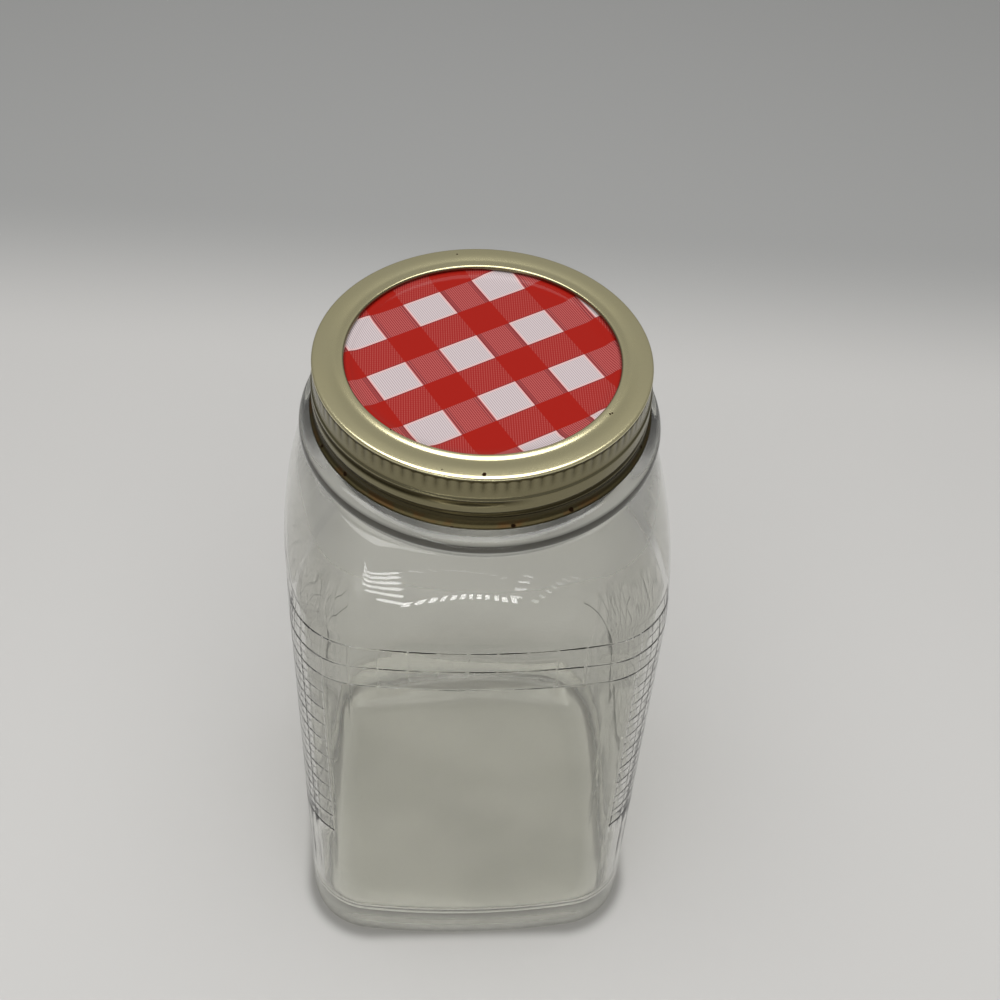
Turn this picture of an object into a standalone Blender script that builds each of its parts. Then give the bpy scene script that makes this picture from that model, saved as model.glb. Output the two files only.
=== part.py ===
import math

import bmesh
import bpy
from mathutils import Vector

# An empty storage jar of clear pressed glass, square with rounded corners, closed by a two-piece lid:
# a flat disc held down by a rolled screw band. It stands upright on its base, with the plain label
# panels facing -Y and +Y and the tiled sides facing -X and +X.
# Sizes are in millimetres. Heights run up from the surface the jar stands on, and depths run down
# from the top of the screw band.
MM = 0.001

TOTAL_HEIGHT = 213.7
JAR_HEIGHT = 210.2

# The body's outline: four slightly bowed sides joined by round corners.
BODY_HALF_WIDTH = 54.0
SIDE_BOW_RADIUS = 248.0
CORNER_RADIUS = 20.5
WALL = 3.2

# Tiles pressed into the outside of the wall, parted by fine grooves. A belt of tiles runs all round
# below the shoulder, and more rows cover the two tiled sides and their corners.
TILES_PER_SIDE = 12
PANEL_TILES = 11
BELT_ROWS = 2
SIDE_ROWS = 12
ROW_PITCH = 8.05
TOP_GROOVE_HEIGHT = 157.6
GROOVE_WIDTH = 1.2
GROOVE_DEPTH = 0.45

# Shoulder: the square body turns into the round neck. Its corners start to draw in lower down than its
# sides, and more roundly. A larger bulge and a later drop make a rounder curve.
SHOULDER_TOP = 186.7
SIDE_SHOULDER_BOTTOM = 160.0
SIDE_BULGE = 1.25
SIDE_DROP = 1.2
CORNER_SHOULDER_BOTTOM = 148.0
CORNER_BULGE = 1.8
CORNER_DROP = 1.7
SHOULDER_RINGS = 7
INNER_SHOULDER_RINGS = 5
NECK_ROOT_RADIUS = 45.9
INNER_NECK_ROOT_RADIUS = 41.6
INNER_SHOULDER_LOWERED = 1.8

# Transfer bead, and the straight finish that carries the lid.
BEAD_RADIUS = 48.3
BEAD_BOTTOM = 189.4
BEAD_TOP = 195.0
FINISH_RADIUS = 42.0
MOUTH_RADIUS = 38.2
MOUTH_ROUNDING = 1.3
INNER_NECK_BOTTOM = 195.5

# Foot: a round heel, a flat ring to stand on and a shallow hollow inside it.
HEEL_RADIUS = 3.6
FOOT_WIDTH = 7.4
FOOT_SLOPE = 4.0
FOOT_HOLLOW = 1.4
FLOOR_HEIGHT = 7.0
INNER_HEEL_RADIUS = 9.0
HEEL_STEPS = 4

# Screw band, rolled from thin tinplate with a curled lower edge and one helical thread.
BAND_RADIUS = 44.1
BAND_BORE = 42.9
BAND_HEIGHT = 17.4
BAND_OPENING_RADIUS = 35.6
CURL_RADIUS = 45.6
BAND_SEGMENTS = 60
THREAD_RADIUS = 44.6
THREAD_PITCH = 3.9
THREAD_FRONT_DEPTH = 12.3
THREAD_GROOVE_DEPTH = 0.75
THREAD_GROOVE_WIDTH = 2.5
THREAD_START = -100.0
THREAD_END = 376.0
THREAD_FADE = 24.0

# Lid disc: a rim under the band's lip and a slightly lower flat panel.
DISC_RADIUS = 42.2
DISC_STEP_RADIUS = 34.4
DISC_PANEL_RADIUS = 32.5
DISC_RIM_DEPTH = 1.6
DISC_PANEL_DEPTH = 2.4
DISC_BOTTOM_DEPTH = 3.2
DISC_SEGMENTS = 60

# Edges sharper than this stay crisp, and all others are shaded round.
CRISP_EDGE_DEGREES = 32.0

# A side arc is centred on a middle plane and a corner arc on a diagonal. They meet where both centres
# and the meeting point lie on one line.
SIDE_CENTRE = BODY_HALF_WIDTH - SIDE_BOW_RADIUS
CENTRE_SPACING = SIDE_BOW_RADIUS - CORNER_RADIUS
CORNER_CENTRE = (SIDE_CENTRE + math.sqrt(2.0 * CENTRE_SPACING ** 2 - SIDE_CENTRE ** 2)) / 2.0
CORNER_REACH = CORNER_CENTRE * math.sqrt(2.0) + CORNER_RADIUS
TANGENT_ANGLE = math.asin(CORNER_CENTRE / CENTRE_SPACING)
HALF_SIDE_ARC = SIDE_BOW_RADIUS * TANGENT_ANGLE
CORNER_ARC = CORNER_RADIUS * (math.pi / 2.0 - 2.0 * TANGENT_ANGLE)
QUARTER = 2.0 * HALF_SIDE_ARC + CORNER_ARC

TILE_PITCH = QUARTER / TILES_PER_SIDE
TILE_COUNT = 4 * TILES_PER_SIDE
HALF_GROOVE = GROOVE_WIDTH / 2.0


def remove_scene_objects():
    for obj in list(bpy.data.objects):
        bpy.data.objects.remove(obj, do_unlink=True)


def make_material(name, color, roughness, metallic=0.0, transmission=0.0):
    material = bpy.data.materials.new(name)
    material.use_nodes = True
    shader = material.node_tree.nodes["Principled BSDF"]
    shader.inputs["Base Color"].default_value = (*color, 1.0)
    shader.inputs["Roughness"].default_value = roughness
    shader.inputs["Metallic"].default_value = metallic
    shader.inputs["Transmission Weight"].default_value = transmission
    material.diffuse_color = (*color, 1.0)
    return material


def outline_point(arc, inset=0.0):
    """Point of the body's outline seen from above, and the outward direction there.

    arc is the length along the outline, anticlockwise from the middle of the +X side. inset moves the
    point towards the inside of the wall.
    """
    quarter = math.floor(arc / QUARTER + 0.5)
    along = arc - quarter * QUARTER
    if abs(along) <= HALF_SIDE_ARC:
        angle = along / SIDE_BOW_RADIUS
        centre = Vector((SIDE_CENTRE, 0.0))
        radius = SIDE_BOW_RADIUS
    else:
        side = math.copysign(1.0, along)
        angle = side * (TANGENT_ANGLE + (abs(along) - HALF_SIDE_ARC) / CORNER_RADIUS)
        centre = Vector((CORNER_CENTRE, side * CORNER_CENTRE))
        radius = CORNER_RADIUS
    outward = Vector((math.cos(angle), math.sin(angle)))
    point = centre + outward * (radius - inset)
    for _ in range(quarter % 4):
        point = Vector((-point.y, point.x))
        outward = Vector((-outward.y, outward.x))
    return point, outward


def shoulder_curve(height, bottom, bulge, drop):
    """Falls from 1 at the bottom of the shoulder to 0 at its top."""
    climb = min(max((height - bottom) / (SHOULDER_TOP - bottom), 0.0), 1.0)
    return (1.0 - climb ** drop) ** (1.0 / bulge)


def shoulder_point(point, height, neck_radius):
    """Point of the outline drawn in towards the neck's circle, as far as the height asks."""
    corner = max(0.0, (point.length - BODY_HALF_WIDTH) / (CORNER_REACH - BODY_HALF_WIDTH))
    side_share = shoulder_curve(height, SIDE_SHOULDER_BOTTOM, SIDE_BULGE, SIDE_DROP)
    corner_share = shoulder_curve(height, CORNER_SHOULDER_BOTTOM, CORNER_BULGE, CORNER_DROP)
    share = side_share + (corner_share - side_share) * corner
    return point.normalized() * (neck_radius + (point.length - neck_radius) * share)


def outer_point(arc, height, sink=0.0):
    """Point on the outside of the body or shoulder, pressed into the wall by sink."""
    point, outward = outline_point(arc)
    point = shoulder_point(point, height, NECK_ROOT_RADIUS) - outward * sink
    return (point.x, point.y, height)


def inner_point(arc, height):
    """Point on the inside of the body or shoulder, above the inner heel."""
    point = outline_point(arc, WALL)[0]
    point = shoulder_point(point, height + INNER_SHOULDER_LOWERED, INNER_NECK_ROOT_RADIUS)
    return (point.x, point.y, height)


def shoulder_heights(bottom, count):
    """Heights up to the top of the shoulder, crowding together where it turns flat."""
    rise = SHOULDER_TOP - bottom
    return [SHOULDER_TOP - rise * (1.0 - step / count) ** 1.5 for step in range(1, count + 1)]


def groove_height(line):
    return TOP_GROOVE_HEIGHT - line * ROW_PITCH


def make_columns():
    """Arc lengths of the wall's upright mesh lines, and the first line of every tile.

    A tile on a side has a line at each edge. A tile on a corner has one more in its middle, where the
    wall bends.
    """
    arcs, firsts = [], []
    for tile in range(TILE_COUNT):
        firsts.append(len(arcs))
        arcs.append((tile - 0.5) * TILE_PITCH)
        past_middle = (tile + TILES_PER_SIDE // 2) % TILES_PER_SIDE
        if past_middle in (TILES_PER_SIDE - 1, 0, 1):
            arcs.append(tile * TILE_PITCH)
    return arcs, firsts


COLUMN_ARCS, FIRST_COLUMNS = make_columns()
COLUMN_COUNT = len(COLUMN_ARCS)


def tile_columns(tile):
    """Upright mesh lines of a tile. The last tile ends on the first line, counted as one more."""
    return list(range(FIRST_COLUMNS[tile], [*FIRST_COLUMNS, COLUMN_COUNT][tile + 1] + 1))


def panel_columns(first_tile):
    return list(range(FIRST_COLUMNS[first_tile], FIRST_COLUMNS[first_tile + PANEL_TILES] + 1))


def is_tile(row, tile):
    """Tiles fill the belt, and below it all places but those of the two plain panels."""
    from_panel_middle = tile % (2 * TILES_PER_SIDE) - TILES_PER_SIDE
    return row < BELT_ROWS or abs(from_panel_middle) > PANEL_TILES // 2


def column_arc(column):
    laps, place = divmod(column, COLUMN_COUNT)
    return COLUMN_ARCS[place] + laps * 4.0 * QUARTER


def set_in_arcs(columns):
    """Arc lengths of a row of mesh lines whose two ends are moved in by half a groove."""
    arcs = [column_arc(column) for column in columns]
    return [arcs[0] + HALF_GROOVE, *arcs[1:-1], arcs[-1] - HALF_GROOVE]


def pick(ring, columns):
    return [ring[column % COLUMN_COUNT] for column in columns]


def closed(ring):
    return [*ring, ring[0]]


def join(mesh, lower, upper):
    """Faces between a lower and an upper row of vertices that run anticlockwise seen from above."""
    for step in range(len(lower) - 1):
        mesh.faces.new((lower[step], lower[step + 1], upper[step + 1], upper[step]))


def new_verts(mesh, points):
    return [mesh.verts.new(point) for point in points]


def join_rings(mesh, rings):
    """Skin over a list of closed rings of vertices."""
    for lower, upper in zip(rings, rings[1:]):
        join(mesh, closed(lower), closed(upper))


def wall_ring(mesh, height, inset):
    return new_verts(mesh, [(*outline_point(arc, inset)[0], height) for arc in COLUMN_ARCS])


def round_ring(mesh, radius, height):
    points = []
    for arc in COLUMN_ARCS:
        points.append((*(outline_point(arc)[0].normalized() * radius), height))
    return new_verts(mesh, points)


def heel_ring(mesh, step, radius, bottom, inset):
    """Ring of a quarter-round heel between the wall (step 0) and the level ground (last step)."""
    angle = step / HEEL_STEPS * math.pi / 2.0
    height = bottom + radius * (1.0 - math.sin(angle))
    return wall_ring(mesh, height, inset + radius * (1.0 - math.cos(angle)))


def foot_rings(mesh):
    """Rings from the hollow under the jar out over the standing ring and up round the heel."""
    foot_inset = HEEL_RADIUS + FOOT_WIDTH
    rings = [wall_ring(mesh, FOOT_HOLLOW, foot_inset + FOOT_SLOPE),
             wall_ring(mesh, FOOT_HOLLOW * 0.6, foot_inset + FOOT_SLOPE * 0.5),
             wall_ring(mesh, 0.0, foot_inset)]
    for step in range(HEEL_STEPS, -1, -1):
        rings.append(heel_ring(mesh, step, HEEL_RADIUS, 0.0, 0.0))
    return rings


def neck_rings(mesh):
    """Rings over the transfer bead, up the finish and round the mouth to the inside of the neck."""
    bead_middle = (BEAD_BOTTOM + BEAD_TOP) / 2.0
    profile = [(BEAD_RADIUS - 1.0, BEAD_BOTTOM + 0.3),
               (BEAD_RADIUS, bead_middle - 1.2),
               (BEAD_RADIUS, bead_middle + 1.2),
               (BEAD_RADIUS - 1.0, BEAD_TOP - 0.5),
               (BEAD_RADIUS - 2.8, BEAD_TOP),
               (FINISH_RADIUS, BEAD_TOP + 0.4),
               (FINISH_RADIUS, JAR_HEIGHT - MOUTH_ROUNDING),
               (FINISH_RADIUS - MOUTH_ROUNDING, JAR_HEIGHT),
               (MOUTH_RADIUS + MOUTH_ROUNDING, JAR_HEIGHT),
               (MOUTH_RADIUS, JAR_HEIGHT - MOUTH_ROUNDING),
               (MOUTH_RADIUS, INNER_NECK_BOTTOM),
               (MOUTH_RADIUS + 1.6, INNER_NECK_BOTTOM - 5.0)]
    return [round_ring(mesh, radius, height) for radius, height in profile]


def inner_rings(mesh):
    """Rings down the inside of the shoulder and wall to the floor."""
    heights = [CORNER_SHOULDER_BOTTOM, *shoulder_heights(CORNER_SHOULDER_BOTTOM, INNER_SHOULDER_RINGS)]
    rings = []
    for height in reversed(heights):
        points = [inner_point(arc, height - INNER_SHOULDER_LOWERED) for arc in COLUMN_ARCS]
        rings.append(new_verts(mesh, points))
    for step in range(HEEL_STEPS + 1):
        rings.append(heel_ring(mesh, step, INNER_HEEL_RADIUS, FLOOR_HEIGHT, WALL))
    return rings


def add_tile(mesh, grooves, row, tile):
    """One tile: its face, set in from the grooves round it, and a slope down to each groove."""
    columns = tile_columns(tile)
    below, above = pick(grooves[row + 1], columns), pick(grooves[row], columns)
    arcs = set_in_arcs(columns)
    lower = new_verts(mesh, [outer_point(arc, groove_height(row + 1) + HALF_GROOVE) for arc in arcs])
    upper = new_verts(mesh, [outer_point(arc, groove_height(row) - HALF_GROOVE) for arc in arcs])
    join(mesh, below, lower)
    join(mesh, lower, upper)
    join(mesh, upper, above)
    mesh.faces.new((below[0], lower[0], upper[0], above[0]))
    mesh.faces.new((lower[-1], below[-1], above[-1], upper[-1]))


def add_panel(mesh, grooves, under_ring, first_tile):
    """Plain panel under the belt, with a slope to the groove above it and to the tiles on each side.

    Returns the panel's two bottom corners, each under the mesh line it follows. They lie in the ring
    below the tiles.
    """
    columns = panel_columns(first_tile)
    first, last = columns[0], columns[-1]
    arcs = set_in_arcs(columns)
    top = groove_height(BELT_ROWS) - HALF_GROOVE
    bottom = groove_height(SIDE_ROWS) - HALF_GROOVE
    upper = new_verts(mesh, [outer_point(arc, top) for arc in arcs])
    corners = new_verts(mesh, [outer_point(arcs[0], bottom), outer_point(arcs[-1], bottom)])
    lower = [corners[0], *pick(under_ring, columns[1:-1]), corners[1]]
    join(mesh, lower, upper)
    join(mesh, upper, pick(grooves[BELT_ROWS], columns))
    first_edge = [grooves[line][first] for line in range(BELT_ROWS, SIDE_ROWS + 1)]
    last_edge = [grooves[line][last] for line in range(SIDE_ROWS, BELT_ROWS - 1, -1)]
    mesh.faces.new((*first_edge, lower[0], upper[0]))
    mesh.faces.new((upper[-1], lower[-1], *last_edge))
    mesh.faces.new((first_edge[-1], under_ring[first], lower[0]))
    mesh.faces.new((lower[-1], under_ring[last], last_edge[0]))
    return {first: corners[0], last - 1: corners[1]}


def build_glass_jar():
    mesh = bmesh.new()
    foot = foot_rings(mesh)
    bottom = groove_height(SIDE_ROWS) - HALF_GROOVE
    under_ring = new_verts(mesh, [outer_point(arc, bottom) for arc in COLUMN_ARCS])
    panel_starts = [middle - PANEL_TILES // 2 for middle in (TILES_PER_SIDE, 3 * TILES_PER_SIDE)]
    panel_inside = {column for start in panel_starts for column in panel_columns(start)[1:-1]}

    grooves = []
    for line in range(SIDE_ROWS + 1):
        row = []
        for column, arc in enumerate(COLUMN_ARCS):
            on_groove = line <= BELT_ROWS or column not in panel_inside
            point = outer_point(arc, groove_height(line), GROOVE_DEPTH)
            row.append(mesh.verts.new(point) if on_groove else None)
        grooves.append(row)
    for row in range(SIDE_ROWS):
        for tile in range(TILE_COUNT):
            if is_tile(row, tile):
                add_tile(mesh, grooves, row, tile)

    corners = {}
    for start in panel_starts:
        corners.update(add_panel(mesh, grooves, under_ring, start))
    for column in range(COLUMN_COUNT):
        following = (column + 1) % COLUMN_COUNT
        edge = [under_ring[following], corners[column]] if column in corners else [under_ring[following]]
        mesh.faces.new((foot[-1][column], foot[-1][following], *edge, under_ring[column]))
        if grooves[-1][column] and grooves[-1][following]:
            join(mesh, pick(under_ring, [column, following]), pick(grooves[-1], [column, following]))

    top = groove_height(0) + HALF_GROOVE
    heights = [top, *shoulder_heights(top, SHOULDER_RINGS)]
    shoulder = [new_verts(mesh, [outer_point(arc, height) for arc in COLUMN_ARCS]) for height in heights]
    inside = inner_rings(mesh)
    join_rings(mesh, foot)
    join_rings(mesh, [grooves[0], *shoulder, *neck_rings(mesh), *inside])
    mesh.faces.new(list(reversed(foot[0])))
    mesh.faces.new(inside[-1])
    glass = make_material("clear_glass", (0.80, 0.83, 0.79), 0.05, transmission=1.0)
    return finish_object("glass_jar", mesh, glass)


def turned_rings(mesh, profile, segments, press=None):
    """Rings of vertices from (radius, depth) points.

    press takes an angle in degrees anticlockwise from the front and a depth, and gives how far a
    point of the outside is pushed in.
    """
    rings = []
    for radius, depth in profile:
        points = []
        for step in range(segments):
            degrees = 360.0 * step / segments
            reach = radius - (press(degrees, depth) if press else 0.0)
            angle = math.radians(degrees - 90.0)
            points.append((reach * math.cos(angle), reach * math.sin(angle), TOTAL_HEIGHT - depth))
        rings.append(new_verts(mesh, points))
    return rings


def thread_press(degrees, depth):
    """Depth of the rolled thread: one groove that climbs anticlockwise a little over one turn."""
    press = 0.0
    for lap in (-1, 0, 1):
        angle = degrees + 360.0 * lap
        centre = THREAD_FRONT_DEPTH - THREAD_PITCH * angle / 360.0
        off_centre = abs(depth - centre) / (THREAD_GROOVE_WIDTH / 2.0)
        fade = min((angle - THREAD_START) / THREAD_FADE, (THREAD_END - angle) / THREAD_FADE, 1.0)
        if off_centre < 1.0 and fade > 0.0:
            press = max(press, THREAD_GROOVE_DEPTH * fade * (1.0 + math.cos(math.pi * off_centre)) / 2.0)
    return press


def build_screw_band():
    mesh = bmesh.new()
    curl = [(CURL_RADIUS - 2.2, BAND_HEIGHT - 0.3), (CURL_RADIUS - 0.5, BAND_HEIGHT),
            (CURL_RADIUS, BAND_HEIGHT - 0.3), (CURL_RADIUS, BAND_HEIGHT - 0.8),
            (CURL_RADIUS - 1.0, BAND_HEIGHT - 1.2), (THREAD_RADIUS - 0.5, BAND_HEIGHT - 2.0),
            (THREAD_RADIUS - 0.4, BAND_HEIGHT - 3.4)]
    threaded = [(THREAD_RADIUS, 13.3 - step * 0.8) for step in range(8)]
    threaded += [(BAND_RADIUS, 6.9)]
    top = [(BAND_RADIUS, 1.1), (BAND_RADIUS - 0.15, 0.4), (BAND_RADIUS - 0.7, 0.05), (BAND_RADIUS - 1.3, 0.0),
           (40.3, 0.0), (38.7, 0.65), (37.0, 0.15), (36.2, 0.25), (BAND_OPENING_RADIUS, 0.9)]
    inside = [(BAND_OPENING_RADIUS + 0.2, 1.3), (BAND_BORE - 0.6, 1.3), (BAND_BORE, 2.0),
              (BAND_BORE, BAND_HEIGHT - 1.0)]
    rings = turned_rings(mesh, curl, BAND_SEGMENTS)
    rings += turned_rings(mesh, threaded, BAND_SEGMENTS, thread_press)
    rings += turned_rings(mesh, top + inside, BAND_SEGMENTS)
    join_rings(mesh, [*rings, rings[0]])
    tinplate = make_material("brass_tone_tinplate", (0.42, 0.39, 0.22), 0.35, metallic=1.0)
    return finish_object("screw_band", mesh, tinplate)


def build_lid_disc():
    mesh = bmesh.new()
    underside = [(DISC_PANEL_RADIUS - 0.4, DISC_BOTTOM_DEPTH - 0.2),
                 (DISC_STEP_RADIUS, DISC_BOTTOM_DEPTH - 0.8),
                 (DISC_STEP_RADIUS + 2.0, DISC_BOTTOM_DEPTH - 0.8),
                 (DISC_STEP_RADIUS + 2.8, DISC_BOTTOM_DEPTH),
                 (DISC_RADIUS - 0.3, DISC_BOTTOM_DEPTH)]
    rim = [(DISC_RADIUS, DISC_BOTTOM_DEPTH - 0.3), (DISC_RADIUS, DISC_RIM_DEPTH + 0.3)]
    top = [(DISC_RADIUS - 0.3, DISC_RIM_DEPTH), (DISC_STEP_RADIUS + 0.6, DISC_RIM_DEPTH),
           (DISC_PANEL_RADIUS, DISC_PANEL_DEPTH)]
    rings = turned_rings(mesh, underside + rim + top, DISC_SEGMENTS)
    join_rings(mesh, rings)
    mesh.faces.new(list(reversed(rings[0])))
    mesh.faces.new(rings[-1])
    return finish_object("lid_disc", mesh, make_material("printed_tinplate", (0.46, 0.03, 0.02), 0.25))


def finish_object(name, mesh, material):
    bmesh.ops.scale(mesh, vec=(MM, MM, MM), verts=mesh.verts)
    data = bpy.data.meshes.new(name)
    mesh.to_mesh(data)
    mesh.free()
    data.shade_smooth()
    data.set_sharp_from_angle(angle=math.radians(CRISP_EDGE_DEGREES))
    data.materials.append(material)
    obj = bpy.data.objects.new(name, data)
    bpy.context.scene.collection.objects.link(obj)
    return obj


remove_scene_objects()
build_glass_jar()
build_screw_band()
build_lid_disc()
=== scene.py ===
import bpy
import math
import numpy as np
from mathutils import Matrix


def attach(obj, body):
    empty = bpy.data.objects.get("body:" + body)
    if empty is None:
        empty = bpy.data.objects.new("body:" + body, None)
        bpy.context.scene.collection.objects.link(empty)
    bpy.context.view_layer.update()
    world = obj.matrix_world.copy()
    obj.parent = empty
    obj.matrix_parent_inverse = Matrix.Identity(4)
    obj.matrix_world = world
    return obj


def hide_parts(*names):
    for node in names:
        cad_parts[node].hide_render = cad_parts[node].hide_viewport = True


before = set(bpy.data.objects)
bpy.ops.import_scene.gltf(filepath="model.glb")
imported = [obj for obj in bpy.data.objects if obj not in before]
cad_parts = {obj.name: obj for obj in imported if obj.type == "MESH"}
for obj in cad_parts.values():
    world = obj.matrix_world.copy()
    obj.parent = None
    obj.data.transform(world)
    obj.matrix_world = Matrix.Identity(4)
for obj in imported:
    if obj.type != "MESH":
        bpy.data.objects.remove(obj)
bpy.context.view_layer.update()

mm = 0.001
lidTop = 213.7  # mm above the table; depths in this file are measured down from here


# ---------------------------------------------------------------- helpers

def smooth(value, low, high):
    # 0 below low, 1 above high, an S-shaped rise between them
    share = np.clip((value - low) / (high - low), 0.0, 1.0)
    return share * share * (3.0 - 2.0 * share)


def rounded(points, times=2):
    # cuts the corners of an open line: every stretch keeps its points at 1/4 and 3/4, the ends stay
    line = np.asarray(points, float)
    for _ in range(times):
        early = line[:-1] * 0.75 + line[1:] * 0.25
        late = line[:-1] * 0.25 + line[1:] * 0.75
        between = np.stack([early, late], axis=1).reshape(-1, line.shape[1])
        line = np.vstack([line[:1], between[1:-1], line[-1:]])
    return line


def addSurface(name, rings, startPole=None, endPole=None, loop=False, uv=None, marks=None):
    # rings is a grid of points in mm: a row for each ring, a column for each place round it
    # a ring and the next are joined by quads, a pole closes an end with a fan, loop joins the last
    # ring to the first; marks are named numbers, one for every point
    rows, columns = rings.shape[:2]
    points = rings.reshape(-1, 3)
    here = np.arange(rows * columns).reshape(rows, columns)
    lower = here if loop else here[:-1]
    upper = np.roll(here, -1, axis=0) if loop else here[1:]
    quads = np.stack([lower, np.roll(lower, -1, axis=1), np.roll(upper, -1, axis=1), upper], axis=-1)
    faces = quads.reshape(-1, 4).tolist()
    if startPole is not None:
        points = np.vstack([points, startPole])
        fan = np.stack([np.full(columns, len(points) - 1), np.roll(here[0], -1), here[0]], axis=-1)
        faces += fan.tolist()
    if endPole is not None:
        points = np.vstack([points, endPole])
        fan = np.stack([np.full(columns, len(points) - 1), here[-1], np.roll(here[-1], -1)], axis=-1)
        faces += fan.tolist()
    mesh = bpy.data.meshes.new(name)
    mesh.from_pydata((points * mm).tolist(), [], faces)
    mesh.polygons.foreach_set("use_smooth", np.ones(len(mesh.polygons), bool))
    if uv is not None:
        # uv holds (along, across) for the corners: rows and columns one longer than the quads
        corners = np.stack([uv[:-1, :-1], uv[:-1, 1:], uv[1:, 1:], uv[1:, :-1]], axis=2)
        mesh.uv_layers.new(name="wrap").data.foreach_set("uv", corners.reshape(-1))
    for mark, values in (marks or {}).items():
        mesh.attributes.new(mark, "FLOAT", "POINT").data.foreach_set("value", values.reshape(-1))
    mesh.update()
    piece = bpy.data.objects.new(name, mesh)
    bpy.context.scene.collection.objects.link(piece)
    return piece


def ringsOf(radius, angle, height):
    # points on circles round the upright axis, from arrays of the same grid
    return np.stack([radius * np.cos(angle), radius * np.sin(angle), height], axis=-1)


class Wire:
    # a socket that plain maths can be written with
    def __init__(self, finish, socket):
        self.finish = finish
        self.socket = socket

    def maths(self, operation, *others):
        values = dict(enumerate((self, *others)))
        return self.finish.node("ShaderNodeMath", {"operation": operation}, values).out()

    def reflected(self, operation, other):
        return self.finish.node("ShaderNodeMath", {"operation": operation}, {0: other, 1: self}).out()

    def __add__(self, other):
        return self.maths("ADD", other)

    def __radd__(self, other):
        return self.reflected("ADD", other)

    def __sub__(self, other):
        return self.maths("SUBTRACT", other)

    def __rsub__(self, other):
        return self.reflected("SUBTRACT", other)

    def __mul__(self, other):
        return self.maths("MULTIPLY", other)

    def __rmul__(self, other):
        return self.reflected("MULTIPLY", other)

    def __truediv__(self, other):
        return self.maths("DIVIDE", other)

    def __rtruediv__(self, other):
        return self.reflected("DIVIDE", other)

    def __neg__(self):
        return self.maths("MULTIPLY", -1.0)

    def __abs__(self):
        return self.maths("ABSOLUTE")


class Made:
    # a node just made, whose outputs are wires
    def __init__(self, finish, item):
        self.finish = finish
        self.item = item

    def out(self, name=0):
        return Wire(self.finish, self.item.outputs[name])


class Finish:
    # one material while it is being put together
    def __init__(self, name):
        self.material = bpy.data.materials.new(name)
        self.material.use_nodes = True
        self.tree = self.material.node_tree
        self.tree.nodes.clear()
        self.place = self.node("ShaderNodeTexCoord").out("Object")

    def node(self, kind, settings=None, values=None):
        item = self.tree.nodes.new(kind)
        for name, value in (settings or {}).items():
            if name == "stops":
                self.setStops(item.color_ramp, value)
            else:
                setattr(item, name, value)
        for name, value in (values or {}).items():
            if isinstance(value, Wire):
                self.tree.links.new(value.socket, item.inputs[name])
            else:
                item.inputs[name].default_value = value
        return Made(self, item)

    def setStops(self, ramp, stops):
        while len(ramp.elements) < len(stops):
            ramp.elements.new(0.5)
        for element, (position, color) in zip(ramp.elements, stops):
            element.position = position
            element.color = (*color, 1.0)

    def fade(self, value, low, high):
        # 0 at low, 1 at high, smooth between them; low may be the greater
        settings = {"interpolation_type": "SMOOTHSTEP", "clamp": True}
        values = {"Value": value, "From Min": low, "From Max": high}
        return self.node("ShaderNodeMapRange", settings, values).out()

    def noise(self, scale, detail=3.0, rough=0.5, at=None, stretch=None, warp=0.0):
        vector = at or self.place
        if stretch:
            vector = self.node("ShaderNodeMapping", None, {"Vector": vector, "Scale": stretch}).out()
        values = {"Vector": vector, "Scale": scale, "Detail": detail, "Roughness": rough,
                  "Distortion": warp}
        return self.node("ShaderNodeTexNoise", None, values).out()

    def blend(self, share, first, second):
        settings = {"data_type": "RGBA", "clamp_factor": True}
        return self.node("ShaderNodeMix", settings, {0: share, 6: first, 7: second}).out(2)

    def mark(self, name):
        return self.node("ShaderNodeAttribute", {"attribute_name": name}).out("Fac")

    def dot(self, vector, other):
        settings = {"operation": "DOT_PRODUCT"}
        return self.node("ShaderNodeVectorMath", settings, {0: vector, 1: other}).out("Value")

    def vector(self, operation, vector, other=(0.0, 0.0, 0.0)):
        settings = {"operation": operation}
        return self.node("ShaderNodeVectorMath", settings, {0: vector, 1: other}).out()

    def distance(self, vector, other):
        settings = {"operation": "DISTANCE"}
        return self.node("ShaderNodeVectorMath", settings, {0: vector, 1: other}).out("Value")

    def bump(self, height, depth, strength=1.0):
        values = {"Height": height, "Distance": depth, "Strength": strength}
        return self.node("ShaderNodeBump", None, values).out()

    def principled(self, values):
        return self.node("ShaderNodeBsdfPrincipled", None, values).out()

    def close(self, surface):
        self.node("ShaderNodeOutputMaterial", None, {"Surface": surface})
        return self.material


def plain(red, green, blue):
    return (red, green, blue, 1.0)


def place(piece, material, node):
    piece.data.materials.append(material)
    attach(piece, "root")
    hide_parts(node)


# ---------------------------------------------------------------- camera

view = {
    "place": (-0.01902, -0.28887, 0.47220),  # m
    "lens": 54.07,
    "sensor": 36.0,
    "down": 0.8251,  # radians below level
    "roll": 0.0612,
    "yaw": 0.0886,
}


def turnedLeft(vector, angle):
    x, y, z = vector
    cos, sin = math.cos(angle), math.sin(angle)
    return (x * cos + y * sin, -x * sin + y * cos, z)


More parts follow.
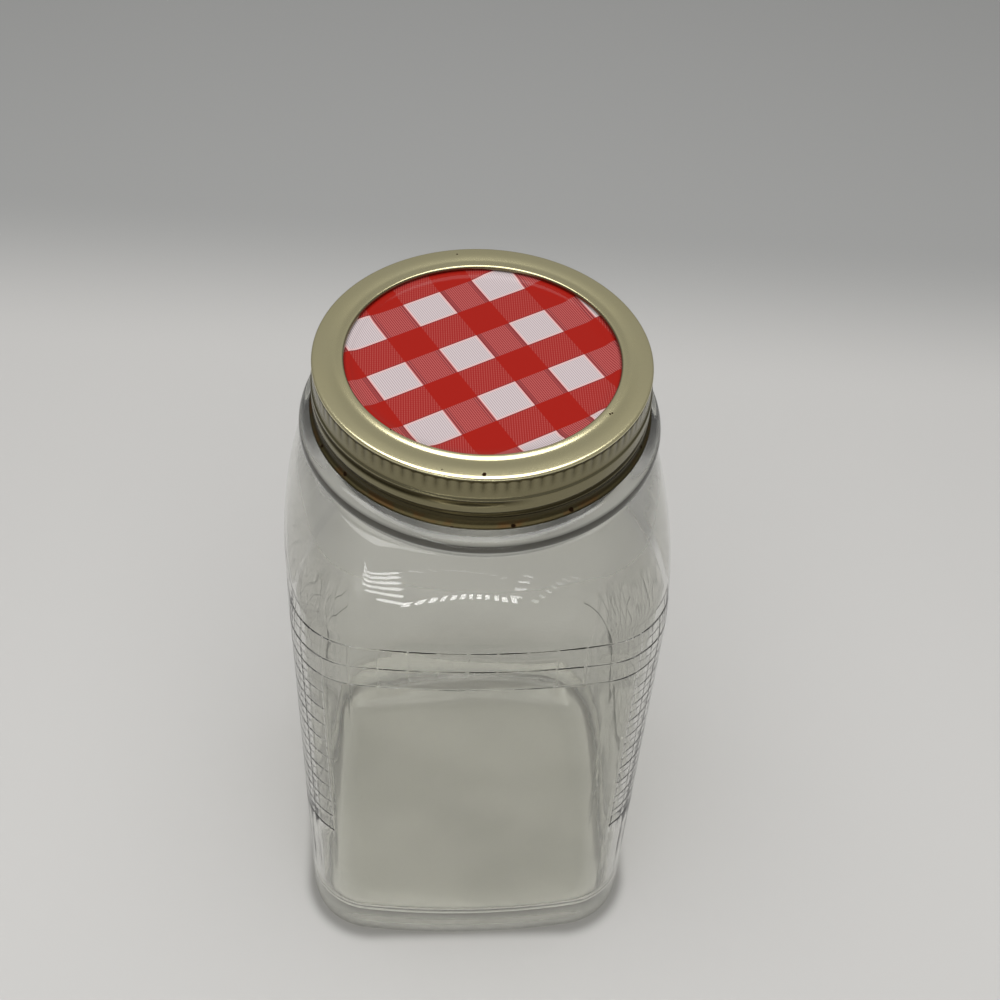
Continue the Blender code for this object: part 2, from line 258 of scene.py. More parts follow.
def makeCamera(settings):
    # looks along (0, cos down, -sin down), rolled about that line, then yawed about the upright
    forward = np.array([0.0, math.cos(settings["down"]), -math.sin(settings["down"])])
    level = np.array([1.0, 0.0, 0.0])
    rise = np.cross(level, forward)
    cos, sin = math.cos(settings["roll"]), math.sin(settings["roll"])
    right = cos * level + sin * rise
    above = -sin * level + cos * rise
    axes = [turnedLeft(vector, settings["yaw"]) for vector in (right, above, -forward)]
    data = bpy.data.cameras.new("studioCamera")
    data.sensor_fit = "HORIZONTAL"
    data.sensor_width = settings["sensor"]
    data.lens = settings["lens"]
    data.clip_start = 0.01
    data.clip_end = 100.0
    camera = bpy.data.objects.new("studioCamera", data)
    bpy.context.scene.collection.objects.link(camera)
    turn = Matrix(axes).transposed().to_4x4()
    camera.matrix_world = Matrix.Translation(settings["place"]) @ turn
    bpy.context.scene.camera = camera


makeCamera(view)
print("camera placed")


# ---------------------------------------------------------------- studio

studio = {
    "floorReach": 14.0,  # m
    "floorColor": (0.482, 0.474, 0.461),
    # painted shade: the colour the pale sheet darkens to behind the jar
    "farShadeColor": (0.310, 0.310, 0.305),
    # painted contact shadow: colour of a dark ring painted on the floor close round the jar's foot
    "footShadowColor": (0.10, 0.097, 0.088),  # close round the jar's foot
    "core": (0.0313, 0.0205),  # m, half of the square between the centres of its corners, their radius
    "farFrom": 0.225,  # m behind the jar's middle, where the pale sheet starts to darken
    "farTo": 0.345,
    "world": (0.98, 0.98, 0.97),
    "worldStrength": 0.32,
    "box": (1.2, 1.4, 3.9),  # width, depth, radiance of the lamp overhead
    "shoulder": (0.0, -0.048, 0.176),  # m, what the small lamps face
    # each row of small lamps: how many, height (m) and radiance of one, where its first lamp
    # starts and ends, where its last one does (m)
    "lamps": {
        "slat": (6, 0.006, 10.0, (-0.27, -0.355, 0.328), (-0.18, -0.434, 0.213),
                 (-0.164, -0.44, 0.109), (-0.124, -0.445, 0.077)),
        "bead": (12, 0.012, 12.0, (-0.126, -0.446, 0.078), (-0.116, -0.446, 0.075),
                 (0.076, -0.445, 0.053), (0.086, -0.445, 0.054)),
        "rung": (4, 0.007, 8.0, (0.075, -0.448, 0.061), (0.099, -0.445, 0.066),
                 (0.121, -0.45, 0.139), (0.145, -0.444, 0.14)),
        "dust": (7, 0.008, 3.5, (0.118, -0.44, 0.059), (0.124, -0.44, 0.064),
                 (0.208, -0.421, 0.176), (0.214, -0.42, 0.182)),
        "thread": (9, 0.0025, 5.0, (-0.17, -0.434, 0.215), (-0.145, -0.44, 0.19),
                   (0.06, -0.46, 0.117), (0.08, -0.458, 0.122)),
    },
}


def makeFloor(settings):
    # square sheet, level at the jar's foot
    reach = settings["floorReach"] / mm
    steps = np.linspace(-reach, reach, 9)
    across, along = np.meshgrid(steps, steps)
    points = np.stack([across, along, np.zeros_like(across)], axis=-1).reshape(-1, 3)
    here = np.arange(81).reshape(9, 9)
    quads = np.stack([here[:-1, :-1], here[:-1, 1:], here[1:, 1:], here[1:, :-1]], axis=-1)
    mesh = bpy.data.meshes.new("floorSheet")
    mesh.from_pydata((points * mm).tolist(), [], quads.reshape(-1, 4).tolist())
    floor = bpy.data.objects.new("floorSheet", mesh)
    bpy.context.scene.collection.objects.link(floor)
    paper = Finish("paleSheet")
    behind = paper.dot(paper.place, (math.sin(view["yaw"]), math.cos(view["yaw"]), 0.0))
    # painted shade: the sheet turns darker behind the jar
    far = paper.fade(behind, settings["farFrom"], settings["farTo"])
    mottle = paper.noise(3.0, 2.0)
    color = paper.blend(far, plain(*settings["floorColor"]), plain(*settings["farShadeColor"]))
    softer = paper.blend(mottle * 0.05, color, plain(0.30, 0.30, 0.29))
    # distance from a square, which is that from the jar's rounded foot and its corners' radius more
    core, corner = settings["core"]
    beyond = paper.vector("MAXIMUM", paper.vector("SUBTRACT", paper.vector("ABSOLUTE", paper.place),
                                                  (core, core, 0.0)), (0.0, 0.0, 0.0))
    away = paper.node("ShaderNodeVectorMath", {"operation": "LENGTH"}, {0: beyond}).out("Value")
    # painted contact shadow: a dark ring on the floor just round the jar's foot, fading out a few mm away
    footShadow = paper.fade(away, corner + 0.0062, corner + 0.0003) * paper.fade(away, corner - 0.005, corner - 0.002)
    softer = paper.blend(footShadow * footShadow * 0.65, softer, plain(*settings["footShadowColor"]))
    shader = paper.principled({"Base Color": softer, "Roughness": 0.75, "Specular IOR Level": 0.2})
    mesh.materials.append(paper.close(shader))


def makeLight(name, target, start, end, depth, radiance):
    # rectangle from start to end that faces target; a surface of that size and radiance gives off
    # radiance * pi * area watts
    start, end, target = (np.array(point, float) for point in (start, end, target))
    middle = (start + end) / 2.0
    width = np.linalg.norm(end - start)
    toward = (middle - target) / np.linalg.norm(middle - target)
    along = (end - start) - toward * np.dot(end - start, toward)
    along /= np.linalg.norm(along)
    data = bpy.data.lights.new(name, "AREA")
    data.shape = "RECTANGLE"
    data.size = width
    data.size_y = depth
    data.energy = radiance * math.pi * width * depth
    light = bpy.data.objects.new(name, data)
    bpy.context.scene.collection.objects.link(light)
    axes = [along, np.cross(toward, along), toward]
    turn = Matrix([list(axis) for axis in axes]).transposed().to_4x4()
    light.matrix_world = Matrix.Translation(middle) @ turn
    return light


def makeLamps(settings):
    # rows of small lamps in front, which only polished surfaces show
    for name, (count, depth, radiance, *corners) in settings["lamps"].items():
        firstStart, firstEnd, lastStart, lastEnd = np.array(corners)
        for number in range(count):
            share = number / (count - 1)
            start = firstStart + (lastStart - firstStart) * share
            end = firstEnd + (lastEnd - firstEnd) * share
            lamp = makeLight(f"{name}{number}", settings["shoulder"], start, end, depth, radiance)
            lamp.visible_camera = False
            lamp.visible_diffuse = False
            lamp.visible_transmission = False


def makeWorld(settings):
    world = bpy.data.worlds.new("studioAir")
    world.use_nodes = True
    background = world.node_tree.nodes["Background"]
    background.inputs["Color"].default_value = plain(*settings["world"])
    background.inputs["Strength"].default_value = settings["worldStrength"]
    bpy.context.scene.world = world
    bpy.context.scene.view_settings.view_transform = "Standard"


makeFloor(studio)
makeWorld(studio)
boxWidth, boxDepth, boxRadiance = studio["box"]
boxEdge = boxWidth / 2.0
makeLight("overheadBox", (0.0, -0.3, 0.2), (-0.05 - boxEdge, -0.3, 1.2), (-0.05 + boxEdge, -0.3, 1.2),
          boxDepth, boxRadiance)
makeLamps(studio)
print("floor and light made")


# ---------------------------------------------------------------- glass jar

jar = {
    "halfWidth": 54.0,
    "sideBow": 248.0,  # radius of a side seen from above
    "cornerRadius": 20.5,
    "wall": 3.2,
    "tilesPerSide": 12,
    "beltLines": 3,
    "sideLines": 13,
    "sideReach": 6.5,  # tiles to each side of a patterned side's middle
    "linePitch": 8.05,
    "topLine": 157.6,
    "grooveHalf": 0.38,
    "beltDepth": 0.30,
    "sideDepth": 0.11,
    "uprightDepth": 0.07,
    "sideUpright": 0.15,
    "pillow": 0.05,  # how far a tile's edges lie below its middle
    "shoulderTop": 186.7,
    "sideShoulder": (160.0, 1.25, 1.2),  # bottom, bulge, drop
    "cornerShoulder": (148.0, 1.8, 1.7),
    "neckRoot": 45.9,
    "innerNeckRoot": 41.6,
    "innerLowered": 1.8,
    "heel": 3.6,
    "footInset": 11.0,
    "footHollow": 1.4,
    "floorHeight": 7.0,
    "innerHeel": (15.0, 10.0),  # across the floor, up the wall
    "ripple": 0.08,  # mm, of the inside of the wall
}

sideCentre = jar["halfWidth"] - jar["sideBow"]
centreSpacing = jar["sideBow"] - jar["cornerRadius"]
cornerCentre = (sideCentre + math.sqrt(2.0 * centreSpacing ** 2 - sideCentre ** 2)) / 2.0
cornerReach = cornerCentre * math.sqrt(2.0) + jar["cornerRadius"]
tangentAngle = math.asin(cornerCentre / centreSpacing)
halfSideArc = jar["sideBow"] * tangentAngle
quarterArc = 2.0 * halfSideArc + jar["cornerRadius"] * (math.pi / 2.0 - 2.0 * tangentAngle)
tilePitch = quarterArc / jar["tilesPerSide"]


def outline(arc, inset=0.0):
    # rounded square: on each quarter a long shallow arc about a far centre, then a tight arc about
    # the corner's centre on the diagonal; inset shortens both radii
    quarterTurn = np.floor(arc / quarterArc + 0.5)
    along = arc - quarterTurn * quarterArc
    half = np.where(along < 0.0, -1.0, 1.0)
    onSide = np.abs(along) <= halfSideArc
    bent = half * (tangentAngle + (np.abs(along) - halfSideArc) / jar["cornerRadius"])
    angle = np.where(onSide, along / jar["sideBow"], bent)
    radius = np.where(onSide, jar["sideBow"], jar["cornerRadius"]) - inset
    x = np.where(onSide, sideCentre, cornerCentre) + radius * np.cos(angle)
    y = np.where(onSide, 0.0, half * cornerCentre) + radius * np.sin(angle)
    turn = quarterTurn * math.pi / 2.0
    return x * np.cos(turn) - y * np.sin(turn), x * np.sin(turn) + y * np.cos(turn)


def shoulderShare(height, bottom, bulge, drop):
    # 1 at the bottom of the shoulder, 0 at its top: (1 - climb^drop)^(1/bulge)
    climb = np.clip((height - bottom) / (jar["shoulderTop"] - bottom), 0.0, 1.0)
    return (1.0 - climb ** drop) ** (1.0 / bulge)


def drawnIn(x, y, height, neckRadius):
    # outline pulled towards the neck's circle; corners follow their own curve, sides theirs
    length = np.hypot(x, y)
    corner = np.clip((length - jar["halfWidth"]) / (cornerReach - jar["halfWidth"]), 0.0, 1.0)
    side = shoulderShare(height, *jar["sideShoulder"])
    share = side + (shoulderShare(height, *jar["cornerShoulder"]) - side) * corner
    scale = (neckRadius + (length - neckRadius) * share) / length
    return x * scale, y * scale


def grooveProfile(offset):
    # 1 on the line, 0 at its edges, half a cosine between
    return 0.5 + 0.5 * np.cos(np.pi * np.clip(np.abs(offset) / jar["grooveHalf"], 0.0, 1.0))


def pressedIn(arc, height):
    # depth of the tile lines: level lines round the belt and down the two patterned sides, and
    # fainter upright lines at every tile's edge
    tiles = arc / tilePitch
    fromSide = np.abs((tiles + 12.0) % 24.0 - 12.0)
    onSide = smooth(fromSide, jar["sideReach"] + 0.069, jar["sideReach"])
    line = (jar["topLine"] - height) / jar["linePitch"]
    nearest = np.clip(np.round(line), 0, jar["sideLines"] - 1)
    deep = np.where(nearest < jar["beltLines"], jar["beltDepth"], onSide * jar["sideDepth"])
    uneven = 0.82 + 0.18 * np.sin(tiles * 2.1 + nearest * 1.7)
    uneven = uneven * np.where(nearest == 2, 0.7, 1.0)
    level = grooveProfile((line - nearest) * jar["linePitch"]) * deep * uneven
    edge = tiles - 0.5
    offset = (edge - np.round(edge)) * tilePitch
    bottom = np.where(onSide > 0.5, jar["sideLines"] - 1.0, jar["beltLines"] - 1.0)
    within = smooth(line, -0.07, 0.0) * (1.0 - smooth(line - bottom, 0.0, 0.07))
    upright = grooveProfile(offset) * within
    across = 1.0 - np.sin(np.pi * (edge - np.floor(edge))) * np.abs(np.sin(np.pi * line))
    pillow = across * within * np.where(bottom > 3.0, 1.0, 0.3) * jar["pillow"]
    uprightDepth = jar["uprightDepth"] + (jar["sideUpright"] - jar["uprightDepth"]) * onSide
    return np.maximum(level * (1.0 - 0.85 * upright), upright * uprightDepth) + pillow


def sinkInto(arc, x, y, depth):
    # moves outline points inwards along the outline's own normal
    farX, farY = outline(arc, 1.0)
    nearX, nearY = outline(arc)
    return x + (farX - nearX) * depth, y + (farY - nearY) * depth


def ripple(x, y, height, size):
    # three slow waves over the inside of blown glass
    wave = np.sin(x / 9.0 + height / 15.0) + np.sin(y / 11.0 - height / 21.0 + 1.3)
    return size * (wave + 0.7 * np.sin((x - y) / 17.0 + height / 8.5 + 0.6)) / 2.7


def jarColumns():
    # eight upright mesh lines to a tile: five across its edge's groove, three over its face
    offsets = np.array([-0.55, -0.38, 0.0, 0.38, 0.55, 2.3, tilePitch / 2.0, tilePitch - 2.3])
    edges = (np.arange(4 * jar["tilesPerSide"]) - 0.5) * tilePitch
    return (edges[:, None] + offsets[None, :]).reshape(-1)


def jarHeights():
    # outside, from the top of the heel to the top of the shoulder, crowded at the lines and where
    # the shoulder turns flat
    lines = jar["topLine"] - jar["linePitch"] * np.arange(jar["sideLines"] - 1, -1, -1)
    around = np.array([-0.55, -0.38, -0.19, 0.0, 0.19, 0.38, 0.55, 4.0])
    tiled = (lines[:, None] + around[None, :]).reshape(-1)[:-1]
    low = np.linspace(jar["heel"] + 0.1, tiled[0], 9)[:-1]
    rise = jar["shoulderTop"] - tiled[-1]
    high = jar["shoulderTop"] - rise * (1.0 - np.arange(1, 29) / 28.0) ** 1.5
    return low, tiled, high


def outerWall(arc, height):
    x, y = outline(arc)
    x, y = drawnIn(x, y, height, jar["neckRoot"])
    x, y = sinkInto(arc, x, y, pressedIn(arc, height))
    return np.stack([x, y, height + 0.0 * x], axis=-1)


def innerWall(arc, height):
    wave = ripple(*outline(arc), height, jar["ripple"])
    x, y = outline(arc, jar["wall"] + wave)
    x, y = drawnIn(x, y, height + jar["innerLowered"], jar["innerNeckRoot"])
    return np.stack([x, y, height + 0.0 * x], axis=-1)


def heelRings(arc, across, up, bottom, inset, steps):
    # quarter of an ellipse from the level ground up to the wall
    angle = np.linspace(math.pi / 2.0, 0.0, steps)[:, None]
    x, y = outline(arc, inset + across * (1.0 - np.cos(angle)))
    height = bottom + up * (1.0 - np.sin(angle)) + 0.0 * x
    return np.stack([x, y, height], axis=-1)


def levelRings(arc, insets, heights):
    x, y = outline(arc, np.array(insets)[:, None])
    return np.stack([x, y, np.array(heights)[:, None] + 0.0 * x], axis=-1)


def shrunkRings(ring, shares, heights):
    # copies of one ring drawn towards the axis
    shares = np.array(shares)[:, None]
    height = np.array(heights)[:, None] + 0.0 * ring[None, :, 0]
    return np.stack([ring[None, :, 0] * shares, ring[None, :, 1] * shares, height], axis=-1)


def neckRings(arc):
    # bead, straight finish and round mouth: a profile turned about the axis
    profile = rounded([(45.9, 186.7), (46.2, 187.8), (47.4, 189.2), (48.35, 190.6), (48.4, 192.6),
                       (47.6, 194.4), (45.6, 195.2), (42.2, 195.5), (42.0, 208.6), (40.1, 210.4),
                       (38.2, 208.6), (38.2, 197.0), (39.4, 192.8), (40.9, 188.6), (41.6, 184.9)], 2)[1:-1]
    x, y = outline(arc)
    angle = np.arctan2(y, x)[None, :] + 0.0 * profile[:, :1]
    frost = smooth(profile[:, :1], 44.0, 43.0) + 0.0 * angle
    high = profile[:, 1:]
    # painted shade: a dark band round the bead's outer rim
    grime = (profile[:, :1] > 47.0) * smooth(high, 194.2, 193.3) * smooth(high, 190.7, 191.4) + 0.0 * angle
    return ringsOf(profile[:, :1] + 0.0 * angle, angle, profile[:, 1:] + 0.0 * angle), frost, grime


def makeJar():
    arc = jarColumns()[None, :]
    low, tiled, high = jarHeights()
    hollow = jar["footHollow"]
    insets = np.array([16.8, 15.0, 13.0, 11.0, 9.5, 8.0, 7.0, 6.2, 5.2])
    foot = levelRings(arc, insets, hollow * smooth(insets, 6.0, 17.0) + 0.06 * smooth(insets, 6.0, 4.0))
    under = shrunkRings(foot[0], [0.3, 0.6, 0.9], [hollow, hollow, hollow])
    heel = heelRings(arc, jar["heel"], jar["heel"], 0.1, 0.0, 8)
    outer = outerWall(arc, np.concatenate([low[1:], tiled, high])[:, None])
    neck, neckFrost, neckShade = neckRings(arc[0])
    rise = jar["shoulderTop"] - jar["cornerShoulder"][0]
    shoulder = jar["shoulderTop"] - rise * (1.0 - np.arange(25, -1, -1) / 25.0) ** 1.5
    inHeights = np.concatenate([shoulder - jar["innerLowered"], np.linspace(134.0, 19.0, 9)])
    inner = innerWall(arc, inHeights[:, None])
    innerHeel = heelRings(arc, *jar["innerHeel"], jar["floorHeight"], jar["wall"], 12)[::-1]
    ground = shrunkRings(innerHeel[-1], [0.8, 0.5, 0.2], jar["floorHeight"] + np.array([0.15, 0.42, 0.62]))
    parts = [under, foot, heel, outer, neck, inner, innerHeel, ground]
    rings = np.concatenate(parts)
    none = 0.0 * rings[:, :, 0]
    frost = np.concatenate([1.0 + 0.0 * under[:, :, 0], 1.0 + 0.0 * foot[:, :, 0],
                            smooth(heel[:, :, 2], 2.6, 0.7), 0.0 * outer[:, :, 0], neckFrost,
                            smooth(inner[:, :, 2], 168.0, 179.0)])
    frost = np.concatenate([frost, none[len(frost):]])
    before = len(under) + len(foot) + len(heel) + len(outer)
    # the tile lines on the left and right sides are painted darker
    sideLineDark = pressedIn(arc, outer[:, :, 2]) * smooth(np.abs(outer[:, :, 0]), 40.0, 46.0) * 1.6
    grime = np.concatenate([none[:before - len(outer)], sideLineDark, neckShade, none[before + len(neck):]])
    marks = {"frost": np.append(frost, [1.0, 0.0]), "grime": np.append(grime, [0.0, 0.0])}
    poles = (0.0, 0.0, hollow), (0.0, 0.0, jar["floorHeight"] + 0.68)
    piece = addSurface("clearJar", rings, *poles, marks=marks)
    print("jar rings", rings.shape[0], "columns", rings.shape[1])
    return piece


glassLook = {
    "litTint": (0.905, 0.905, 0.875),  # of the shoulder, a painted highlight: lighter than the body
    "body": (0.825, 0.825, 0.79),
    "cloud": (0.775, 0.775, 0.74),
    # near-black colour painted into the dark band round the bead (painted shade) and into the darker tile lines of the
    # left and right sides
    "grime": (0.02, 0.019, 0.015),
    "shade": (0.79, 0.79, 0.77),  # what the wall lets through of a lamp's light
}


def makeGlassFinish(settings):
    glass = Finish("clearGlass")
    smudge = glass.fade(glass.noise(38.0, 4.0, 0.6), 0.52, 0.78)
    waver = glass.noise(45.0, 2.0, 0.4)
    # painted highlight: the glass's colour turns lighter above 155 mm, so the shoulder looks brighter than the body
    high = glass.fade(glass.dot(glass.place, (0.0, 0.0, 1.0)), 0.155, 0.175)
    body = glass.blend(glass.fade(glass.noise(22.0, 3.0), 0.42, 0.68), plain(*settings["body"]), plain(*settings["cloud"]))
    litTint = glass.blend(high, body, plain(*settings["litTint"]))
    shader = glass.principled({
        "Base Color": glass.blend(glass.mark("grime"), litTint, plain(*settings["grime"])),
        "Roughness": 0.004 + smudge * 0.03 + glass.mark("frost") * 0.38,
        "IOR": 1.45,
        "Transmission Weight": 1.0,
        "Normal": glass.bump(waver, 0.0004, 0.2),
    })
    through = glass.node("ShaderNodeBsdfTransparent", None, {"Color": plain(*settings["shade"])}).out()
    fromLamp = glass.node("ShaderNodeLightPath").out("Is Shadow Ray")
    return glass.close(glass.node("ShaderNodeMixShader", None, {0: fromLamp, 1: shader, 2: through}).out())


place(makeJar(), makeGlassFinish(glassLook), "glass_jar")
print("jar made")


# ---------------------------------------------------------------- screw band

band = {
    "columns": 576,
    "radius": 44.1,
    "threadRadius": 44.6,
    "threadPitch": 3.9,
    "threadFront": 12.3,  # depth of the lower turn at the front
    "threadDepth": 0.5,
    "threadAbove": 0.75,  # steep flank over the groove's middle, gentle one under it
    "threadBelow": 1.7,
    "threadSpan": (-100.0, 376.0),  # degrees from the front
    "threadFade": 24.0,
    "ribs": 96,
    "ribDepth": 0.13,
}


def bandRadius(depth):
    # skirt seen from the side: knurled top part, thread's swell, narrow part over the curl
    swell = smooth(depth, 6.9, 7.8) * (1.0 - smooth(depth, 13.1, 13.9))
    return band["radius"] + (band["threadRadius"] - band["radius"]) * swell + 0.1 * smooth(depth, 13.2, 14.0)


def threadPress(degrees, depth):
    # groove of the helix: a half cosine about each turn's centre, faded at both ends
    press = np.zeros_like(degrees + depth)
    for lap in (-1, 0, 1):
        turned = degrees + 360.0 * lap
        centre = band["threadFront"] - band["threadPitch"] * turned / 360.0
        start, end = band["threadSpan"]
        alive = smooth(turned, start, start + band["threadFade"]) * smooth(turned, end, end - band["threadFade"])
        flank = np.where(depth < centre, band["threadAbove"], band["threadBelow"])
        offset = np.clip(np.abs(depth - centre) / flank, 0.0, 1.0)
        press = np.maximum(press, (0.5 + 0.5 * np.cos(np.pi * offset)) * alive)
    return press


def makeBand():
    # a closed profile carried round the axis: up the skirt, over the top, down inside
    skirtDepth = np.concatenate([np.linspace(14.9, 7.0, 44), np.linspace(6.5, 2.6, 9), np.linspace(2.3, 1.0, 10)])
    curl = rounded([(43.5, 16.2), (44.0, 17.2), (45.0, 17.4), (45.5, 17.0), (45.3, 16.5),
                    (44.5, 16.2), (44.2, 15.0)], 2)[:-1]
    top = rounded([(44.1, 1.0), (44.05, 0.6), (43.7, 0.2), (42.9, 0.09), (41.2, 0.0), (40.2, 0.05),
                   (39.3, 0.17), (38.5, 0.31), (37.9, 0.31), (37.2, 0.12), (36.5, 0.0), (36.05, 0.08),
                   (35.75, 0.45), (35.7, 1.25), (37.0, 1.3)], 2)
    inside = rounded([(37.3, 1.3), (42.1, 1.3), (42.85, 1.5), (42.9, 3.0), (42.9, 14.8),
                      (42.95, 15.5)], 1)
    skirt = np.stack([bandRadius(skirtDepth), skirtDepth], axis=-1)
    profile = np.vstack([curl, skirt, top, inside])
    pressed = np.concatenate([np.zeros(len(curl)), np.ones(len(skirt)), np.zeros(len(top) + len(inside))])
    degrees = np.arange(band["columns"])[None, :] * 360.0 / band["columns"]
    depth = profile[:, 1:]
    ribbed = smooth(depth, 0.75, 1.25) * (1.0 - smooth(depth, 3.0, 6.6)) * pressed[:, None]
    wave = 1.0 - np.abs(np.cos(np.radians(degrees) * band["ribs"] / 2.0))
    scallop = np.exp(-((depth - 1.25 - 0.5 * wave) / 0.26) ** 2) * pressed[:, None]
    ribs = ribbed * wave * band["ribDepth"] + 0.12 * scallop
    press = threadPress(degrees, depth) * pressed[:, None]
    radius = profile[:, :1] - press * band["threadDepth"] - ribs
    # darkens the whole outside of the skirt (tarnish), with painted shade added in the thread's groove, in the band
    # under the thread down over the curl's top, along the scalloped crease under the top's corner, across the knurl's
    # ribs, and on the inner lip's face
    outside = smooth(depth, 0.8, 1.3) * (profile[:, :1] > 43.0)
    # painted shade: the narrow band under the thread, down over the top of the curl
    underThreadShade = smooth(depth, 13.2, 13.7) * (1.0 - smooth(depth, 16.8, 17.2))
    soil = np.clip(0.76 + 0.4 * press ** 0.7 + 0.24 * underThreadShade + scallop + 0.14 * ribbed * wave, 0.0, 1.0) * outside
    soil = np.maximum(soil, 0.75 * smooth(profile[:, :1], 36.3, 35.9))
    rusty = outside * smooth(depth, 14.9, 15.9) * (1.0 - smooth(depth, 16.4, 16.8))
    angle = np.radians(degrees - 90.0) + 0.0 * depth
    rings = ringsOf(radius, angle, lidTop - depth + 0.0 * angle)
    lengths = np.hypot(*np.diff(np.vstack([profile, profile[:1]]), axis=0).T)
    along = np.concatenate([[0.0], np.cumsum(lengths)]) / 100.0
    around = np.arange(band["columns"] + 1) / band["columns"]
    uv = np.stack(np.broadcast_arrays(around[None, :], along[:, None]), axis=-1)
    piece = addSurface("threadedBand", rings, loop=True, uv=uv, marks={"soil": soil + 0.0 * degrees, "rusty": rusty + 0.0 * degrees})
    print("band rings", rings.shape[0])
    return piece


bandLook = {
    "metal": (0.82, 0.755, 0.475),
    "deep": (0.69, 0.63, 0.37),
    # colour of the band's tarnish and of the painted shade on it
    "patinaShadeColor": (0.050, 0.041, 0.019),
    "rust": (0.030, 0.015, 0.007),
    "stain": (0.075, 0.037, 0.013),
    "rough": 0.24,
    "specks": [  # x, y, z from the lid's top, radius: mm
        (-1.3, -42.6, 0.1, 0.62), (-23.5, -27.5, 0.2, 0.32), (-21.3, -28.8, 0.3, 0.36),
        (-18.1, -30.6, 0.2, 0.30), (-11.3, -41.0, 0.0, 0.22), (-43.1, -21.8, 6.0, 0.3),
        (-41.3, -17.1, 16.3, 0.45), (-35.2, -27.2, 16.0, 0.6), (6.4, -44.6, 16.4, 0.55),
        (21.0, -39.5, 16.2, 0.6), (40.7, -17.9, 16.0, 0.5), (-8.7, -44.6, 16.8, 0.35),
        (30.8, -21.9, 0.3, 0.30), (31.4, -21.5, 0.5, 0.34), (-5.7, 41.0, 0.0, 0.28),
    ],
}


def makeBandFinish(settings):
    metal = Finish("oliveTinplate")
    grain = metal.noise(1400.0, 3.0, 0.6)
    cloud = metal.noise(70.0, 4.0, 0.55)
    wrap = metal.node("ShaderNodeUVMap", {"uv_map": "wrap"}).out()
    streak = metal.noise(30.0, 3.0, 0.6, wrap, (60.0, 6.0, 1.0))
    color = metal.blend(cloud, plain(*settings["metal"]), plain(*settings["deep"]))
    # tarnish and painted shade from the mark, streaked along the band
    soil = metal.mark("soil") + (streak - 0.5) * 0.25 * metal.mark("soil")
    color = metal.blend(soil, color, plain(*settings["patinaShadeColor"]))
    stained = metal.mark("rusty") * metal.fade(metal.noise(160.0, 4.0, 0.6), 0.46, 0.62)
    color = metal.blend(stained * 0.7, color, plain(*settings["stain"]))
    ragged = metal.noise(900.0, 3.0, 0.6)
    rust = None
    for x, y, depth, radius in settings["specks"]:
        middle = (x * mm, y * mm, (lidTop - depth) * mm)
        away = metal.distance(metal.place, middle) / (radius * mm) + (ragged - 0.5) * 1.1
        spot = metal.fade(away, 1.15, 0.85)
        rust = spot if rust is None else rust.maths("MAXIMUM", spot)
    color = metal.blend(rust, color, plain(*settings["rust"]))
    roughness = settings["rough"] + (grain - 0.5) * 0.04 + (cloud - 0.5) * 0.10 + rust * 0.5
    roughness = roughness + metal.mark("rusty") * 0.3
    height = grain * 0.4 + streak * 0.6
    shader = metal.principled({
        "Base Color": color,
        "Metallic": 1.0,
        "Roughness": roughness,
        "Normal": metal.bump(height, 0.00002, 0.3),
    })
    return metal.close(shader)


place(makeBand(), makeBandFinish(bandLook), "screw_band")
print("band made")


# ---------------------------------------------------------------- printed disc

disc = {
    "columns": 240,
    "radius": 42.2,
    "stepRadius": 34.4,
    "panelRadius": 32.6,
    "rimDepth": 1.6,
    "panelDepth": 2.35,
    "bottomDepth": 3.2,
}


def makeDisc():
    # a turned profile: flat rim under the band, rounded step, panel with a slight crown
    rim, panel, low = disc["rimDepth"], disc["panelDepth"], disc["bottomDepth"]
    under = [(6.0, low), (20.0, low), (disc["panelRadius"] - 0.3, low), (disc["stepRadius"] + 0.1, low - 0.7),
             (disc["radius"] - 0.4, low - 0.75)]
    edge = [(disc["radius"], low - 0.9), (disc["radius"], rim + 0.3), (disc["radius"] - 0.3, rim)]
    upper = [(disc["stepRadius"] + 1.2, rim), (disc["stepRadius"], rim + 0.05), (disc["stepRadius"] - 0.7, rim + 0.4),
             (disc["panelRadius"] + 0.2, panel - 0.12), (disc["panelRadius"] - 0.8, panel), (28.0, panel - 0.02),
             (20.0, panel - 0.06), (10.0, panel - 0.09), (3.0, panel - 0.1)]
    profile = rounded(under + edge + upper, 2)
    angle = np.arange(disc["columns"])[None, :] * 2.0 * math.pi / disc["columns"] + 0.0 * profile[:, :1]
    rings = ringsOf(profile[:, :1] + 0.0 * angle, angle, lidTop - profile[:, 1:] + 0.0 * angle)
    poles = (0.0, 0.0, lidTop - low), (0.0, 0.0, lidTop - panel + 0.1)
    return addSurface("checkedDisc", rings, *poles)


checks = {
    "centre": (-4.02, 2.72),  # middle of one white check, mm
    "first": (21.35, 29.24),  # repeat and direction, mm and degrees
    "second": (20.02, -62.27),
    "firstWhite": 11.2,
    "secondWhite": 9.85,
    "threadPitch": 0.57,
    "red": (0.246, 0.0092, 0.0055),
    "white": (0.485, 0.422, 0.422),
    "gray": (0.22, 0.175, 0.19),
    "edgePink": (0.60, 0.34, 0.32),
    "pink": (0.42, 0.105, 0.098),
    "deepRose": (0.15, 0.006, 0.008),
    "rose": (0.30, 0.050, 0.042),
    "dash": (0.235, 0.016, 0.014),
    "brown": (0.06, 0.014, 0.019),
}


